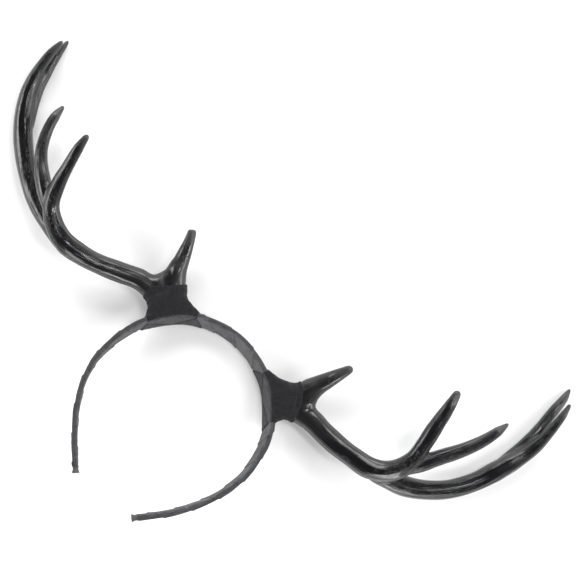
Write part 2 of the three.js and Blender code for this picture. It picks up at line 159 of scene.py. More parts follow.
RIGHT_BRANCHES = {
    "beam": [
        Row(0.0, 0.0, 0.0, 1.09),
        Row(0.06, 0.026, 0.03, 1.09),
        Row(0.117, 0.035, 0.05, 1.15),
        Row(0.171, 0.041, 0.08, 1.13),
        Row(0.24, 0.033, 0.13, 1.09),
        Row(0.316, 0.03, 0.19, 1.08),
        Row(0.391, 0.034, 0.26, 1.09),
        Row(0.457, 0.042, 0.32, 1.11),
        Row(0.505, 0.063, 0.38, 1.06),
        Row(0.544, 0.106, 0.45, 1.03),
        Row(0.563, 0.176, 0.52, 0.84),
        Row(0.559, 0.246, 0.56, 0.8),
        Row(0.551, 0.31, 0.6, 0.82),
        Row(0.544, 0.378, 0.63, 0.73),
        Row(0.538, 0.425, 0.66, 0.6),
        Row(0.531, 0.475, 0.68, 0.36),
    ],
    "brow_tine": [
        Row(0.035, 0.018, 0.0, 0.99),
        Row(0.078, 0.068, 0.04, 1.1),
        Row(0.103, 0.125, 0.08, 1.14),
        Row(0.118, 0.167, 0.13, 0.9),
        Row(0.136, 0.21, 0.2, 0.75),
        Row(0.15, 0.246, 0.28, 0.62),
        Row(0.168, 0.29, 0.36, 0.4),
    ],
    "crotch": [
        Row(0.075, 0.048, 0.04, 1.0),
        Row(0.118, 0.083, 0.06, 0.8),
        Row(0.146, 0.101, 0.07, 0.46),
    ],
    "side_tine": [
        Row(0.557, 0.125, 0.45, 0.84),
        Row(0.601, 0.18, 0.45, 0.84),
        Row(0.63, 0.227, 0.47, 0.78),
        Row(0.667, 0.285, 0.48, 0.76),
        Row(0.702, 0.347, 0.51, 0.69),
        Row(0.729, 0.407, 0.53, 0.6),
        Row(0.745, 0.458, 0.55, 0.5),
        Row(0.755, 0.5, 0.57, 0.15),
    ],
    "rear_beam": [
        Row(0.486, 0.042, 0.28, 0.98),
        Row(0.536, 0.049, 0.18, 1.0),
        Row(0.603, 0.066, 0.1, 1.06),
        Row(0.68, 0.103, 0.03, 1.0),
        Row(0.758, 0.168, -0.01, 0.98),
        Row(0.818, 0.251, -0.04, 0.95),
        Row(0.852, 0.324, -0.05, 1.0),
        Row(0.878, 0.395, -0.03, 0.92),
        Row(0.9, 0.456, -0.01, 0.73),
        Row(0.913, 0.515, 0.03, 0.62),
        Row(0.916, 0.592, 0.08, 0.54),
        Row(0.913, 0.663, 0.13, 0.42),
        Row(0.907, 0.708, 0.15, 0.2),
    ],
    "rear_prong": [
        Row(0.847, 0.338, -0.08, 0.6),
        Row(0.868, 0.431, -0.12, 0.59),
        Row(0.881, 0.508, -0.12, 0.6),
        Row(0.885, 0.586, -0.145, 0.55),
        Row(0.886, 0.664, -0.16, 0.54),
        Row(0.886, 0.722, -0.17, 0.42),
        Row(0.882, 0.757, -0.18, 0.16),
    ],
}

# Crimped end of the tape, from the hoop outwards: width and thickness are shares of the strip's.
TAIL_ROWS = [
    TailRow(0.0, 0.66, 1.25),
    TailRow(0.2, 0.56, 1.05),
    TailRow(0.45, 0.55, 1.0),
    TailRow(0.7, 0.62, 1.2),
    TailRow(1.0, 0.68, 1.35),
]

# Where each binding's lip crosses its antler, out and up as shares of the antler's reach.
LIPS = {
    "left": [(0.136, -0.02), (0.136, 0.037), (0.122, 0.057), (0.044, 0.13)],
    "right": [(0.1296, -0.0096), (0.1206, 0.0334), (0.1046, 0.0834), (0.0736, 0.1184),
              (0.0476, 0.1324)],
}

# Lights: where they stand from the point under the camera (to its right, to its top and above the
# floor), their width and depth, and their power in watts.
LIGHTS = [
    LightRow("top_light", (0.1, 1.9, 1.2), 2.4, 1.0, 58.0),
    LightRow("left_light", (-1.9, 0.2, 0.9), 1.6, 0.6, 24.0),
    LightRow("right_light", (1.9, -0.2, 0.9), 1.6, 0.6, 24.0),
    LightRow("low_light", (-0.2, -1.9, 0.8), 1.6, 0.6, 28.0),
    LightRow("streak_light", (0.4, 0.08, 1.15), 0.05, 0.3, 2.6),
    LightRow("side_streak_light", (0.85, -0.45, 0.95), 0.05, 0.4, 3.6),
]

# Brightness of the surroundings, by how steeply one looks up: pale walls and a dark ceiling.
WALL_FADE = {"From Min": 0.1, "From Max": 0.55, "To Min": 1.1, "To Max": 0.05}

BRANCHES = {"left": LEFT_BRANCHES, "right": RIGHT_BRANCHES}
SIDES = {"left": -1, "right": 1}

UP = np.array([0.0, 0.0, 1.0])

# How finely the pieces are made: points of a curve and of a round corner, rings and sides of the
# tubes, points from one row of a branch to the next, and tubes in each web.
CURVE_POINTS, CORNER_POINTS = 4001, 9
BAND_RINGS, BAND_SIDES = 820, 56
TAIL_RINGS, TAIL_SIDES = 25, 48
SADDLE_RINGS, SADDLE_SIDES = 80, 56
BRANCH_STEPS, BRANCH_SIDES = 6, 28
WEB_TUBES, WEB_RINGS = 14, 12

# The tape: the share of a turn by which a lap's edge slants round the strip; the shares of a lap
# over which it climbs and then drops; the fold before its edge, by place, spread and height; and
# the spacing of its wrinkles across and along the strip, in millimetres.
TAPE_SLANT = 0.9
TAPE_CLIMB, TAPE_DROP = 0.96, 0.035
FOLD_PLACE, FOLD_SPREAD, FOLD_HEIGHT = 0.93, 0.03, 0.35
WRINKLE_ACROSS, WRINKLE_ALONG = 6, 9

# The antlers: how fast their ridges and lumps change round and along a branch, distances from the
# root between which the ridges grow, the rubbed length at a tip, distances from the fork within
# which it is webbed and softened, and distances past the lip between which the foot's calm ends.
RIDGES, FINE_RIDGES, LUMPS = [2.3, 2.3, 28], [4.5, 4.5, 45], [1.1, 1.1, 75]
RIDGE_START = (0.018, 0.04)
RUBBED_LENGTH = 0.022
WEB_FADE, SOFT_FADE, SOFT_ROUNDS = (0.024, 0.012), (0.021, 0.012), 60
FOOT_FADE, FOOT_CALM = (0.012, 0.03), 0.6
TIP_BLUNT, WEB_BLUNT, ROUND_TIP = 0.12, 0.1, 1.0

# The bindings: rounding of their creases, the shares of a turn over which it climbs and then drops,
# where the last turn and the frayed edge begin before the lip, heights of the cloth's rough
# surface, frayed edge, last turn and inner flap, and how far the inner flap slopes to each side.
CLOTH_CREASE = 0.0016
TURN_CLIMB, TURN_DROP = 0.9, 0.08
LAST_TURN, FRINGE = (-0.0062, -0.0055), (-0.0012, 0.0)
ROUGH_HEIGHT, FRAY_HEIGHT, LAST_TURN_HEIGHT, FLAP_HEIGHT = 0.00015, 0.0007, 0.00032, 0.0003
FLAP_SLOPES = (0.021, 0.015)


def length(name, description, default):
    """A size that the panel shows."""
    return FloatProperty(
        name=name, description=description, default=default, min=0.0,
        unit="LENGTH", subtype="DISTANCE", precision=4,
    )


def share(name, description, default):
    """A number without a unit that the panel shows."""
    return FloatProperty(name=name, description=description, default=default, precision=3)


def angle(name, description, degrees):
    """An angle that the panel shows."""
    return FloatProperty(
        name=name, description=description, default=math.radians(degrees), unit="ROTATION",
    )


def colour(name, description, default):
    """A colour that the panel shows."""
    return FloatVectorProperty(
        name=name, description=description, default=default,
        subtype="COLOR", size=3, min=0.0, max=1.0,
    )


class HoopSettings(bpy.types.PropertyGroup):
    width: length("Width", "Across the middle of the strip", 0.126)
    height: length("Height", "From the crown to the ends", 0.1343)
    strip_width: length("Strip width", "Of the strip at the crown", 0.014)
    strip_thickness: length("Strip thickness", "Of the strip", 0.0036)
    tilt: angle("Tilt", "Of the hoop's plane, as the headband lies on a table", 12)
    crown: FloatVectorProperty(
        name="Crown", description="Middle of the strip at the crown",
        default=(0.00625, 0.00994, 0.00735), subtype="XYZ", unit="LENGTH",
    )


class TapeSettings(bpy.types.PropertyGroup):
    lap_height: length("Lap height", "Of a lap's edge above the next lap", 0.00055)
    pitch: length("Pitch", "From one lap's edge to the next", 0.0195)
    wrinkle_height: length("Wrinkle height", "Of the tape's soft wrinkles", 0.00022)
    tail_length: length("Tail length", "Of the crimped end", 0.0043)
    light: colour("Light threads", "Colour of the tape's raised threads", (0.075, 0.075, 0.079))
    dark: colour("Dark threads", "Colour between the threads", (0.022, 0.022, 0.024))
    # Painted light: the inner face gets a lighter copy of the tape's colours, standing in for the
    # light that it catches there.
    painted_lit_inner_light: colour("Inner light threads", "The same on the inner face", (0.13, 0.13, 0.134))
    painted_lit_inner_dark: colour("Inner dark threads", "The same on the inner face", (0.04, 0.04, 0.042))


class AntlerSettings(bpy.types.PropertyGroup):
    reach: length("Reach", "From the hoop to the outermost prong", 0.176)
    depth: length("Depth", "Spread of the tines from front to back", 0.04)
    beam_radius: length("Beam radius", "Of the main beam", 0.0068)
    flatness: share("Flatness", "Front to back, as a share of the width", 0.94)
    lean: angle("Lean", "Forward of the hoop's plane", 12)
    seat_drop: length("Seat drop", "Of the foot, towards the strip's back edge", 0.0013)
    seat_share: share("Seat", "Place of the foot from crown to end", 0.26)
    clearance: length("Clearance", "Between the foot and the tape", 0.0003)
    voxel: length("Grain size", "Of the mesh that joins the branches", 0.0006)
    ridge_height: length("Ridge height", "Of the ridges along the branches", 0.00034)
    lump_height: length("Lump height", "Of the uneven swellings", 0.00035)
    web: length("Web", "Rounding of the crease between beam and brow tine", 0.0021)
    left_web: length("Left web", "From the foot to the end of the left antler's web", 0.0252)
    right_web: length("Right web", "The same on the right", 0.0232)
    tip_reach: length("Tip reach", "Of each tip past its last section", 0.0017)
    crease: length("Crease", "Rounding of the other creases", 0.0005)
    dark: colour("Plastic", "Colour of the plastic", (0.0045, 0.0045, 0.0053))
    worn: colour("Worn tips", "Colour of the rubbed tips", (0.035, 0.035, 0.037))


class BindingSettings(bpy.types.PropertyGroup):
    voxel: length("Grain size", "Of the binding's mesh", 0.0005)
    turn_height: length("Turn height", "Of the edge of each turn of cloth", 0.00018)
    turn_pitch: length("Turn pitch", "From one turn's edge to the next", 0.0042)
    sleeve: length("Sleeve", "Thickness of the cloth round an antler's foot", 0.0007)
    saddle: length("Saddle", "Thickness of the cloth round the hoop", 0.0009)
    draw_in: length("Draw-in", "Length over which the cloth is drawn in to its lip", 0.009)
    saddle_length: length("Saddle length", "Along the hoop", 0.04)
    light: colour("Light threads", "Colour of the cloth's raised threads", (0.0165, 0.0165, 0.0185))
    dark: colour("Dark threads", "Colour between the threads", (0.006, 0.006, 0.007))
    # Painted light: inside the hoop the black cloth gets a lighter copy of its colours, standing in
    # for the light that it catches there.
    painted_lit_inner_light: colour("Inner light threads", "The same inside the hoop", (0.085, 0.085, 0.088))
    painted_lit_inner_dark: colour("Inner dark threads", "The same inside the hoop", (0.03, 0.03, 0.032))


class StageSettings(bpy.types.PropertyGroup):
    floor: colour("Floor", "Colour of the floor", (0.92, 0.92, 0.92))
    camera_height: length("Camera height", "Above the floor", 1.125)
    camera_place: FloatVectorProperty(
        name="Camera place", description="Where the camera stands over the floor",
        default=(0.01459, 0.05884), size=2, unit="LENGTH",
    )
    camera_turn: angle("Camera turn", "About the vertical", 39.2)
    focal_share: share("Focal length", "As a share of the picture's width", 1650 / 580)


def settings(name):
    """A group of the scene's settings."""
    return getattr(bpy.context.scene, f"headband_{name}")


# Shapes.


def smooth_curve(points, places):
    """Points of a smooth curve, at places that are counted in rows from its first point."""
    points = np.asarray(points, float)
    padded = np.vstack([2 * points[0] - points[1], points, 2 * points[-1] - points[-2]])
    row = np.minimum(np.asarray(places).astype(int), len(points) - 2)
    part = (np.asarray(places) - row)[:, None]
    before, start, end, after = (padded[row + step] for step in range(4))

    def gap(first, second):
        return np.maximum(np.sum((second - first) ** 2, axis=1), 1e-16)[:, None] ** 0.25

    early, middle, late = gap(before, start), gap(start, end), gap(end, after)
    leave = (start - before) / early - (end - before) / (early + middle) + (end - start) / middle
    arrive = (end - start) / middle - (after - start) / (middle + late) + (after - end) / late
    leave, arrive = leave * middle, arrive * middle
    square = -3 * start + 3 * end - 2 * leave - arrive
    cube = 2 * start - 2 * end + leave + arrive
    return start + part * (leave + part * (square + part * cube))


def unit(vectors):
    """Vectors with a length of one."""
    return vectors / np.linalg.norm(vectors, axis=-1, keepdims=True)


def turned_about_x(points, turn):
    """Points turned about the X axis."""
    cos, sin = math.cos(turn), math.sin(turn)
    matrix = np.array([[1, 0, 0], [0, cos, -sin], [0, sin, cos]])
    return points @ matrix.T


def cell_number(cells, seed):
    """A number from 0 to 1 for each whole-number cell."""
    mixed = np.sin(cells @ np.array([12.9898, 78.233, 37.719]) + seed * 4.137) * 43758.5453
    return mixed - np.floor(mixed)


def noise(points, seed):
    """Smooth noise from -1 to 1."""
    base = np.floor(points)
    part = points - base
    ease = part * part * (3 - 2 * part)
    total = np.zeros(len(points))
    for corner in np.ndindex(2, 2, 2):
        weight = np.prod(np.where(corner, ease, 1 - ease), axis=-1)
        total += weight * cell_number(base + corner, seed)
    return 2 * total - 1


Strip = namedtuple("Strip", "point along across away width")


def strip_at(shares):
    """The strip's middle, directions and width, at shares of the hoop's length from its left end."""
    hoop = settings("hoop")
    left = [(-row.left * hoop.width / 2, -row.down * hoop.height, 0.0) for row in HOOP_ROWS]
    right = [(row.right * hoop.width / 2, -row.down * hoop.height, 0.0) for row in HOOP_ROWS]
    line = left[:0:-1] + right
    last = len(HOOP_ROWS) - 1
    places = np.linspace(0, 2 * last, CURVE_POINTS)
    points = smooth_curve(line, places)
    passed = np.concatenate([[0], np.cumsum(np.linalg.norm(np.diff(points, axis=0), axis=1))])
    place = np.interp(np.asarray(shares) * passed[-1], passed, places)
    point = smooth_curve(line, place)
    nudge = 1e-3
    ahead = smooth_curve(line, np.minimum(place + nudge, 2 * last))
    behind = smooth_curve(line, np.maximum(place - nudge, 0))
    along = unit(ahead - behind)
    outward = np.stack([-along[:, 1], along[:, 0], np.zeros(len(along))], axis=1)
    row = np.abs(place - last)
    rows = np.arange(last + 1)
    lean = np.where(
        place < last,
        np.interp(row, rows, [entry.left_lean for entry in HOOP_ROWS]),
        np.interp(row, rows, [entry.right_lean for entry in HOOP_ROWS]),
    )
    cos, sin = np.cos(np.radians(lean))[:, None], np.sin(np.radians(lean))[:, None]
    width = hoop.strip_width * np.interp(row, rows, [entry.width for entry in HOOP_ROWS])
    return Strip(point, along, cos * UP + sin * outward, cos * outward - sin * UP, width)


def hoop_length():
    """Length of the hoop along its strip."""
    points = strip_at(np.linspace(0, 1, 2001)).point
    return np.sum(np.linalg.norm(np.diff(points, axis=0), axis=1))


def on_table(points):
    """Points of the hoop's own frame, where they lie on the table."""
    hoop = settings("hoop")
    return turned_about_x(points, -hoop.tilt) + np.array(hoop.crown)


def seat_of(side):
    """The strip under an antler, and the point that the antler stands on."""
    antler = settings("antler")
    strip = strip_at([0.5 + side * antler.seat_share / 2])
    return strip, strip.point[0] - antler.seat_drop * strip.across[0]


def section(width, thickness, corner, count):
    """Across and height of the points of a section with round corners, evenly spaced round it."""
    flat, rise = width / 2 - corner, thickness / 2 - corner
    outline = []
    for middle, start in (((flat, rise), 0), ((-flat, rise), 90), ((-flat, -rise), 180),
                          ((flat, -rise), 270)):
        for turn in np.radians(np.linspace(start, start + 90, CORNER_POINTS)):
            outline.append((middle[0] + corner * math.cos(turn),
                            middle[1] + corner * math.sin(turn)))
    outline = np.array(outline + outline[:1])
    passed = np.concatenate([[0], np.cumsum(np.linalg.norm(np.diff(outline, axis=0), axis=1))])
    marks = np.arange(count) / count * passed[-1]
    return np.stack([np.interp(marks, passed, outline[:, axis]) for axis in (0, 1)], axis=1)


# Meshes.


def only(piece):
    """Selects one object and nothing else."""
    bpy.ops.object.select_all(action="DESELECT")
    piece.select_set(True)
    bpy.context.view_layer.objects.active = piece


def close_up():
    """Welds the active mesh, fills its holes and turns its faces outwards."""
    bpy.ops.object.mode_set(mode="EDIT")
    bpy.ops.mesh.select_all(action="SELECT")
    bpy.ops.mesh.remove_doubles(threshold=1e-6)
    bpy.ops.mesh.fill_holes(sides=0)
    bpy.ops.mesh.select_all(action="SELECT")
    bpy.ops.mesh.normals_make_consistent(inside=False)
    bpy.ops.object.mode_set(mode="OBJECT")


def tube(name, rings):
    """A closed skin through rings of points, rolled up from a grid."""
    count, sides = rings.shape[:2]
    bpy.ops.object.select_all(action="DESELECT")
    bpy.ops.mesh.primitive_grid_add(x_subdivisions=sides, y_subdivisions=count - 1, size=1)
    piece = bpy.context.object
    piece.name = piece.data.name = name
    closed = np.concatenate([rings, rings[:, :1]], axis=1)
    piece.data.vertices.foreach_set("co", closed.reshape(-1).astype(np.float32))
    piece.data.update()
    close_up()
    return piece


def coordinates(piece):
    """The places of a mesh's vertices."""
    values = np.empty(len(piece.data.vertices) * 3, np.float32)
    piece.data.vertices.foreach_get("co", values)
    return values.reshape(-1, 3).astype(float)


def outwards(piece):
    """The directions in which a mesh's vertices face."""
    values = np.empty(len(piece.data.vertices) * 3, np.float32)
    piece.data.vertex_normals.foreach_get("vector", values)
    return values.reshape(-1, 3).astype(float)


def move_vertices(piece, places):
    """Puts a mesh's vertices in new places."""
    piece.data.vertices.foreach_set("co", places.reshape(-1).astype(np.float32))
    piece.data.update()


def add_attribute(piece, name, kind, values):
    """Gives a mesh's vertices a value each that its material reads."""
    attribute = piece.data.attributes.new(name, kind, "POINT")
    field = "vector" if kind == "FLOAT_VECTOR" else "value"
    attribute.data.foreach_set(field, np.asarray(values, np.float32).reshape(-1))


def apply_modifier(piece, kind, **values):
    """Adds a modifier with these settings and applies it."""
    only(piece)
    modifier = piece.modifiers.new(kind.title(), kind)
    for key, value in values.items():
        setattr(modifier, key, value)
    bpy.ops.object.modifier_apply(modifier=modifier.name)


def fill_creases(piece, voxel, rounding):
    """Welds a mesh into one skin and rounds its creases: it is swollen, then shrunk back."""
    apply_modifier(piece, "REMESH", mode="VOXEL", voxel_size=voxel)
    for sign in (1, -1):
        apply_modifier(piece, "SMOOTH", factor=0.5, iterations=4)
        places = coordinates(piece)
        move_vertices(piece, places + sign * rounding(places)[:, None] * outwards(piece))
        apply_modifier(piece, "REMESH", mode="VOXEL", voxel_size=voxel)
    apply_modifier(piece, "SMOOTH", factor=0.5, iterations=5)


def soften(piece, shares, rounds):
    """Smooths a mesh where the shares of its vertices are large."""
    group = piece.vertex_groups.new(name="soft")
    for level in np.linspace(0.1, 1, 10):
        inside = np.flatnonzero(shares > level - 0.05)
        if len(inside):
            group.add(inside.tolist(), float(level), "REPLACE")
    apply_modifier(piece, "SMOOTH", factor=0.5, iterations=rounds, vertex_group="soft")
    piece.vertex_groups.remove(piece.vertex_groups["soft"])


def copy_of(source, name):
    """A free copy of an object."""
    only(source)
    bpy.ops.object.duplicate()
    piece = bpy.context.object
    piece.name = piece.data.name = name
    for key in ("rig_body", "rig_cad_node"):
        if key in piece:
            del piece[key]
    piece.parent = None
    return piece


def join(pieces):
    """Joins objects into the first of them."""
    bpy.ops.object.select_all(action="DESELECT")
    for piece in pieces:
        piece.select_set(True)
    bpy.context.view_layer.objects.active = pieces[0]
    bpy.ops.object.join()
    return pieces[0]


def cut(piece, place, direction, **side):
    """Cuts away the part of a closed mesh that lies past a plane, and closes it again."""
    only(piece)
    bpy.ops.object.mode_set(mode="EDIT")
    bpy.ops.mesh.select_all(action="SELECT")
    bpy.ops.mesh.bisect(plane_co=place, plane_no=direction, use_fill=True, **side)
    bpy.ops.object.mode_set(mode="OBJECT")


def step(values, start, end):
    """A soft step from 0 at the start to 1 at the end."""
    part = np.clip((values - start) / (end - start), 0, 1)
    return part * part * (3 - 2 * part)


def nearest_finder(points):
    """A search tree over points."""
    tree = KDTree(len(points))
    for index, point in enumerate(points):
        tree.insert(point, index)
    tree.balance()
    return tree


def near_point(places, point, fade):
    """A soft step from 0 far from a point to 1 close to it; the fade is the two distances."""
    far, close = fade
    return step(-np.linalg.norm(places - point, axis=1), -far, -close)


def lap_rise(lap, climb, drop):
    """Height of wound cloth along a lap, from 0 to 1: it climbs, and drops at the lap's edge."""
    return np.clip(lap / climb, 0, 1) * np.clip((1 - lap) / drop, 0, 1)


def finish_piece(piece, material, slot, *nodes):
    """Gives a piece its material and body, and hides the solids that it stands for; its slot is not
    used.
    """
    piece.data.materials.clear()
    piece.data.materials.append(material)
    only(piece)
    bpy.ops.object.shade_smooth()
    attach(piece, "root")
    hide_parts(*nodes)


# Materials.


class Wire:
    """A socket of a material that takes part in arithmetic."""

    def __init__(self, shade, socket):
        self.shade = shade
        self.socket = socket

    def _math(self, operation, first, second):
        return self.shade.node(
            "ShaderNodeMath", {0: first, 1: second}, operation=operation
        )

    def __add__(self, other):
        return self._math("ADD", self, other)

    def __sub__(self, other):
        return self._math("SUBTRACT", self, other)

    def __rsub__(self, other):
        return self._math("SUBTRACT", other, self)

    def __mul__(self, other):
        return self._math("MULTIPLY", self, other)

    __radd__ = __add__
    __rmul__ = __mul__


class Shade:
    """A material, and the maker of its nodes."""

    def __init__(self, name, **constants):
        self.material = bpy.data.materials.new(name)
        self.material.use_nodes = True
        self.tree = self.material.node_tree
        self.surface = self.tree.nodes["Principled BSDF"]
        for socket, value in constants.items():
            self.surface.inputs[socket.replace("_", " ")].default_value = value

    def feed(self, socket, value):
        if isinstance(value, Wire):
            self.tree.links.new(value.socket, socket)
        else:
            socket.default_value = value

    def node(self, kind, sockets=None, output=0, **values):
        made = self.tree.nodes.new(kind)
        for key, value in values.items():
            setattr(made, key, value)
        for key, value in (sockets or {}).items():
            self.feed(made.inputs[key], value)
        return Wire(self, made.outputs[output])

    def attribute(self, name, output):
        return self.node("ShaderNodeAttribute", output=output, attribute_name=name)

    def stretched(self, vector, scale):
        return self.node("ShaderNodeMapping", {"Vector": vector, "Scale": scale})

    def noise(self, vector, scale, detail=2.0, roughness=0.5):
        return self.node(
            "ShaderNodeTexNoise",
            {"Vector": vector, "Scale": scale, "Detail": detail, "Roughness": roughness},
        )

    def ramp(self, value, low, high):
        return self.node(
            "ShaderNodeMapRange", {"Value": value, "From Min": low, "From Max": high}
        )

    def mix(self, factor, first, second):
        return self.node(
            "ShaderNodeMix", {0: factor, 6: first, 7: second}, output=2, data_type="RGBA"
        )

    def bump(self, height, distance, strength=1.0):
        return self.node(
            "ShaderNodeBump", {"Height": height, "Distance": distance, "Strength": strength}
        )

    def paint(self, **wires):
        for socket, wire in wires.items():
            self.feed(self.surface.inputs[socket.replace("_", " ")], wire)
        return self.material


def opaque(rgb):
    """A colour with full alpha."""
    return (*rgb, 1.0)


def antler_material():
    """Glossy black plastic with fine lengthwise grain, pits and rubbed tips."""
    antler = settings("antler")
    shade = Shade("black_antler_plastic", Coat_Roughness=0.08, IOR=1.5)
    grain = shade.attribute("grain", "Vector")
    tip, calm = shade.attribute("tip", "Fac"), shade.attribute("calm", "Fac")
    streaks = shade.noise(shade.stretched(grain, (1.0, 1.0, 0.08)), 420.0, 3.0)
    clouds = shade.noise(shade.stretched(grain, (1.0, 1.0, 0.35)), 90.0, 3.0)
    fine = shade.noise(shade.stretched(grain, (1.0, 1.0, 0.3)), 1500.0, 2.0)
    specks = shade.noise(shade.stretched(grain, (1.0, 1.0, 0.6)), 1100.0, 1.0)
    pits = shade.ramp(specks, 0.57, 0.68) * shade.ramp(clouds, 0.46, 0.56)
    hairs = shade.noise(shade.stretched(grain, (1.0, 1.0, 0.05)), 1200.0, 2.0)
    worn = shade.ramp(tip + (clouds - 0.5) * 0.6, 0.35, 1.0)
    base = shade.mix(worn, opaque(antler.dark), opaque(antler.worn))
    roughness = 0.2 + shade.ramp(streaks, 0.45, 0.75) * 0.16 + worn * 0.25 + calm * 0.16
    height = streaks * 0.7 + hairs * 0.5 + fine * 0.3 + clouds * 0.5 - pits * (1.1 - calm)
    return shade.paint(
        Base_Color=base, Roughness=roughness, Coat_Weight=0.3 - 0.3 * worn,
        Normal=shade.bump(height * (1.0 - calm), 0.0004, 0.8),
    )


def cloth_material(name, cloth, thread, fuzz):
    """Matt woven cloth: threads both ways, soft fuzz, uneven rubbing, painted shadow lines and
    painted light on inner faces.
    """
    shade = Shade(name, Sheen_Weight=0.06, Sheen_Roughness=0.6, Specular_IOR_Level=0.12)
    weave = shade.attribute("weave", "Vector")
    # A wave texture's bands lie a turn, divided by 20 times its scale, apart.
    waves = {"Vector": weave, "Scale": math.tau / thread / 20, "Distortion": 0.6,
             "Detail": 1.0, "Detail Scale": 1.0}
    warp, weft = (
        shade.node("ShaderNodeTexWave", waves, output=1, bands_direction=way) for way in "XY"
    )
    threads = warp * 0.5 + weft * 0.5
    soft = shade.noise(weave, 160.0, 4.0, 0.6)
    fluff = shade.noise(weave, 1400.0, 2.0)
    strands = shade.noise(shade.stretched(weave, (1.0, 0.08, 1.0)), 1300.0, 3.0)
    # Painted light and shade: one attribute lightens the cloth where it is rubbed or differs in tone
    # and darkens it along painted shadow lines; the other mixes in the lighter copy of its colours,
    # painted light on the faces inside the hoop.
    wear_and_painted_shade, inner = shade.attribute("wear_and_painted_shade", "Fac"), shade.attribute("inner", "Fac")
    patches = shade.noise(shade.stretched(weave, (1.0, 0.35, 1.0)), 420.0, 3.0, 0.6)
    mottle = shade.ramp(soft, 0.3, 0.7) * 0.3 + shade.ramp(patches, 0.35, 0.65) * 0.3
    lightness = threads * 0.15 + fluff * 0.15 + shade.ramp(strands, 0.35, 0.65) * 0.5 + mottle
    lightness = lightness - 0.15 + wear_and_painted_shade * 0.4
    outer_colour = shade.mix(lightness, opaque(cloth.dark), opaque(cloth.light))
    painted_lit_inner_colour = shade.mix(lightness, opaque(cloth.painted_lit_inner_dark), opaque(cloth.painted_lit_inner_light))
    return shade.paint(
        Base_Color=shade.mix(inner, outer_colour, painted_lit_inner_colour),
        Roughness=0.85 + fluff * 0.12,
        Normal=shade.bump(threads * 0.5 + fluff * fuzz + soft + strands, 0.0003, 0.9),
    )


# Pieces.


class HEADBAND_OT_band(bpy.types.Operator):
    """Make the hoop's strip with its laps of tape"""

    bl_idname = "headband.make_band"
    bl_label = "Make Band"

    def execute(self, context):
        hoop, tape = settings("hoop"), settings("tape")
        total = hoop_length()
        shares = np.linspace(0, 1, BAND_RINGS)
        strip = strip_at(shares)
        laps = round(total / tape.pitch)
        marks = np.arange(BAND_SIDES) / BAND_SIDES
        rings = np.empty((BAND_RINGS, BAND_SIDES, 3))
        weave = np.empty((BAND_RINGS, BAND_SIDES, 3))
        inner = np.empty((BAND_RINGS, BAND_SIDES))
        for ring in range(BAND_RINGS):
            outline = section(strip.width[ring], hoop.strip_thickness, 0.0012, BAND_SIDES)
            middle = strip.point[ring]
            across, away = strip.across[ring], strip.away[ring]
            # Height of the tape: it climbs along a lap and drops at the lap's slanted edge.
            wound = shares[ring] * laps + TAPE_SLANT * (marks - 0.25) + 1
            lap = np.mod(wound, 1.0)
            rise = lap_rise(lap, TAPE_CLIMB, TAPE_DROP)
            fold = FOLD_HEIGHT * np.exp(-((lap - FOLD_PLACE) / FOLD_SPREAD) ** 2)
            passed = np.full(BAND_SIDES, shares[ring] * total * 1000 / WRINKLE_ALONG)
            sampled = np.column_stack([outline * 1000 / WRINKLE_ACROSS, passed])
            wrinkle = noise(sampled, 3) + 0.5 * noise(sampled * 2.3, 5)
            lift = tape.lap_height * (rise * 0.8 + fold) + tape.wrinkle_height * wrinkle
            facing = unit(outline / np.array([strip.width[ring] ** 2, hoop.strip_thickness ** 2]))
            outline = outline + facing * lift[:, None]
            rings[ring] = middle + outline[:, :1] * across + outline[:, 1:] * away
            weave[ring] = np.column_stack([
                marks * 2 * (strip.width[ring] + hoop.strip_thickness),
                np.full(BAND_SIDES, shares[ring] * total), wound,
            ])
            # Painted light: how much of the lighter copy of the tape's colours each point takes,
            # from none on the outer face to all on the inner face.
            inner[ring] = step(-outline[:, 1] * 2 / hoop.strip_thickness, 0.25, 0.95)
        rings = on_table(rings)
        band = tube("taped_band", rings)
        tree = nearest_finder(rings.reshape(-1, 3))
        found = [tree.find(place)[1] for place in coordinates(band)]
        flat = weave.reshape(-1, 3)[found]
        add_attribute(band, "weave", "FLOAT_VECTOR", flat * np.array([1, 1, 0]))
        lap, turn = np.modf(flat[:, 2])
        # Lighter towards each lap's raised edge and a random tone per lap; a painted shadow line on
        # the step down at each lap's edge; darker along the fold near the strip's inner corner.
        edge, painted_shadow_line = step(lap, 0.84, 0.95), step(lap, 0.955, 0.985) * (lap < 0.999)
        inner = inner.reshape(-1)[found]
        tone = cell_number(np.column_stack([turn, turn * 0, turn * 0]), 2) - 0.5
        fold = np.exp(-((inner - 0.5) / 0.3) ** 2)
        add_attribute(band, "wear_and_painted_shade", "FLOAT", 0.4 * edge - 1.3 * painted_shadow_line + 0.6 * tone - 0.5 * fold)
        add_attribute(band, "inner", "FLOAT", inner)
        material = cloth_material("dark_grey_tape", tape, 0.0007, 0.5)
        finish_piece(band, material, "tape", "band")
        return {"FINISHED"}


